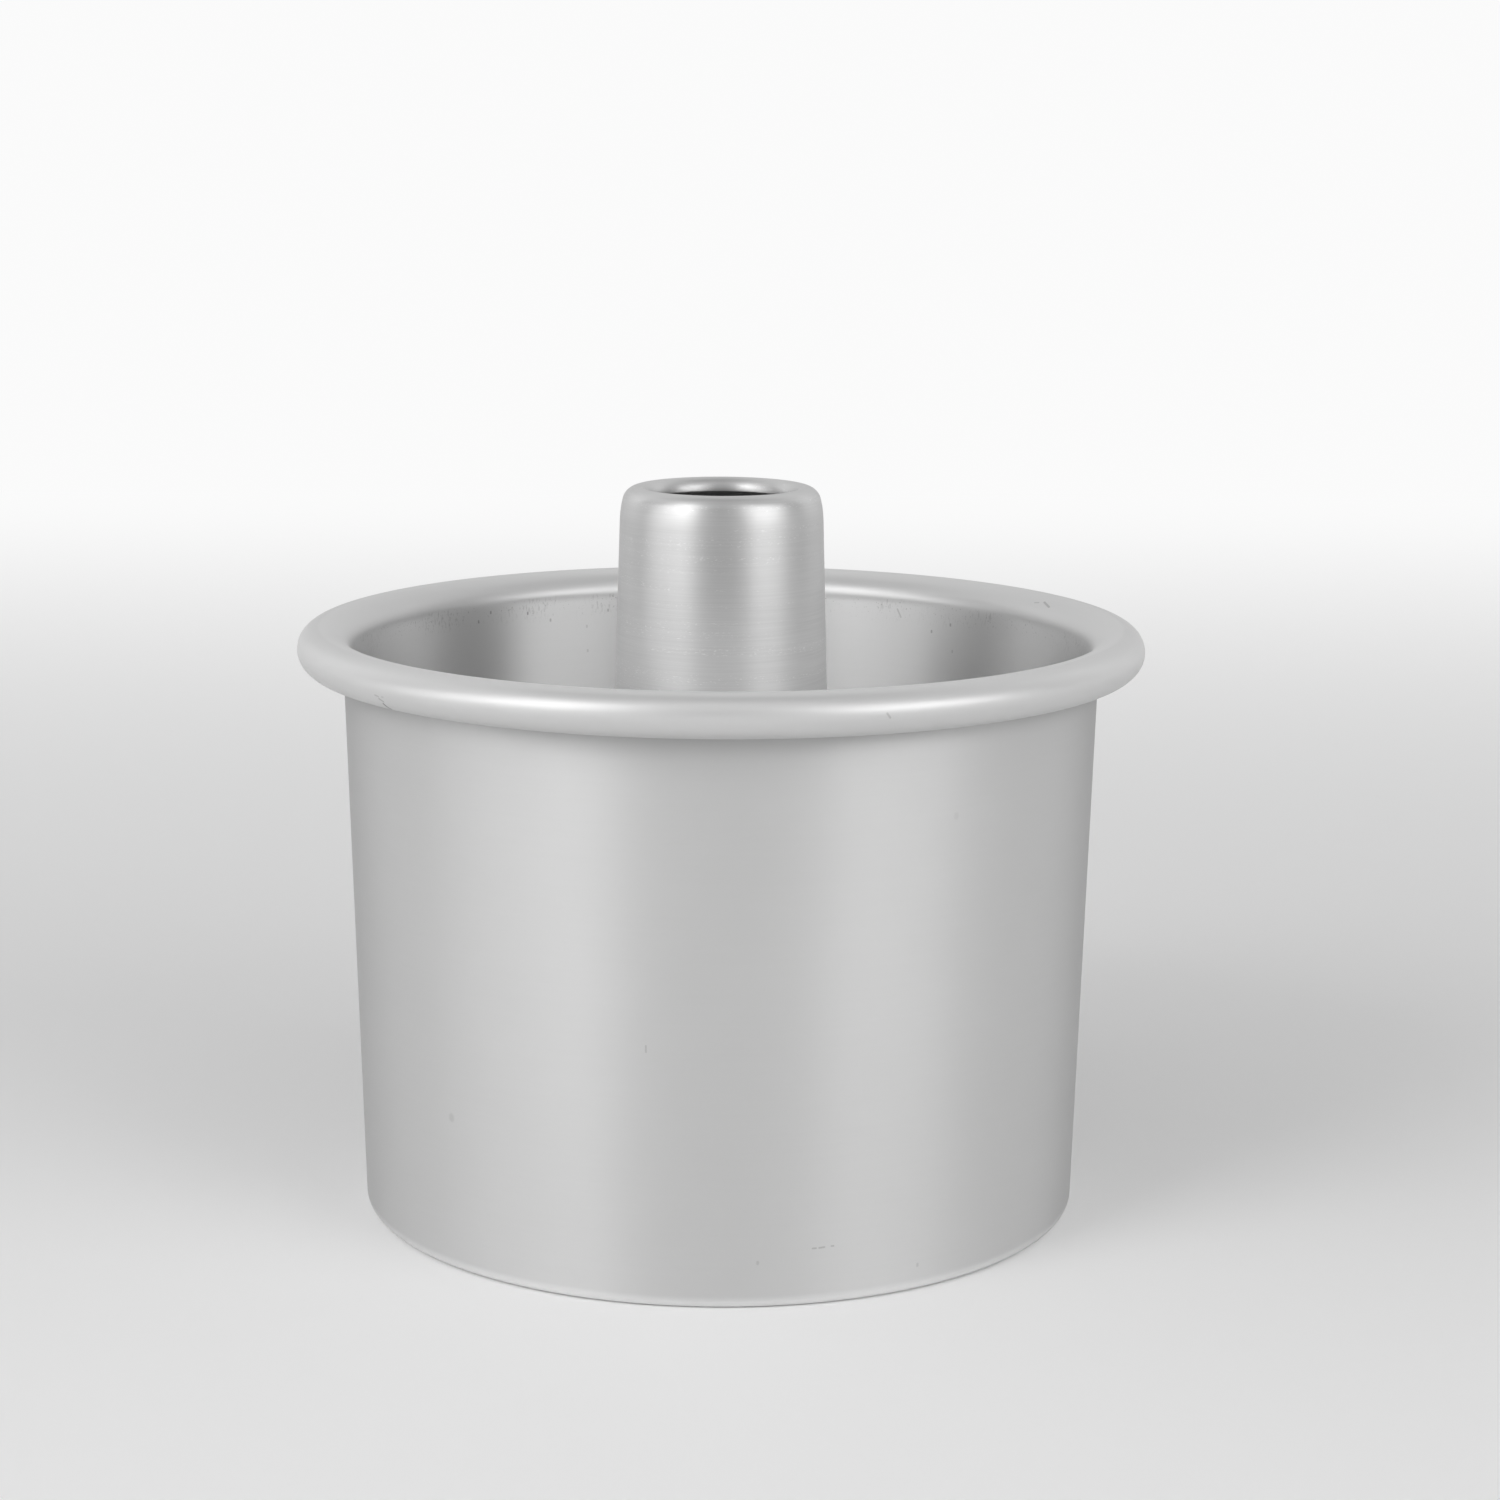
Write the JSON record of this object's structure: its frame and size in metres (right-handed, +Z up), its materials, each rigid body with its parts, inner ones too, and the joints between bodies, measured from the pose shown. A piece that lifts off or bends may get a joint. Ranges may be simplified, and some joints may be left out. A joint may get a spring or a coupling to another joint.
{
  "type": "tube cake pan with removable bottom",
  "caption": "Round tube cake pan in satin aluminium: a tapered ring with a rolled rim, and a loose bottom with a tall open centre tube that lifts straight out.",
  "frame": {"origin": "on the pan's axis, at the level of the surface that it stands on", "axes": "+Z up along the pan's axis, from the base to the open rim; the pan is round about it"},
  "size_m": [0.112, 0.112, 0.0965],
  "materials": {
    "satin_wall": "smooth satin, anodised",
    "satin_plate": "satin with fine turning lines, anodised",
    "brushed_tube": "brushed round the tube, anodised"
  },
  "bodies": {
    "pan_ring": {"pan_wall": "satin_wall"},
    "loose_bottom": {"base_plate": "satin_plate", "centre_tube": "brushed_tube"}
  },
  "joints": [
    {"name": "bottom_lift", "type": "slide", "parent": "pan_ring", "child": "loose_bottom", "axis": [0, 0, 1], "range_m": [0, 0.09]}
  ]
}
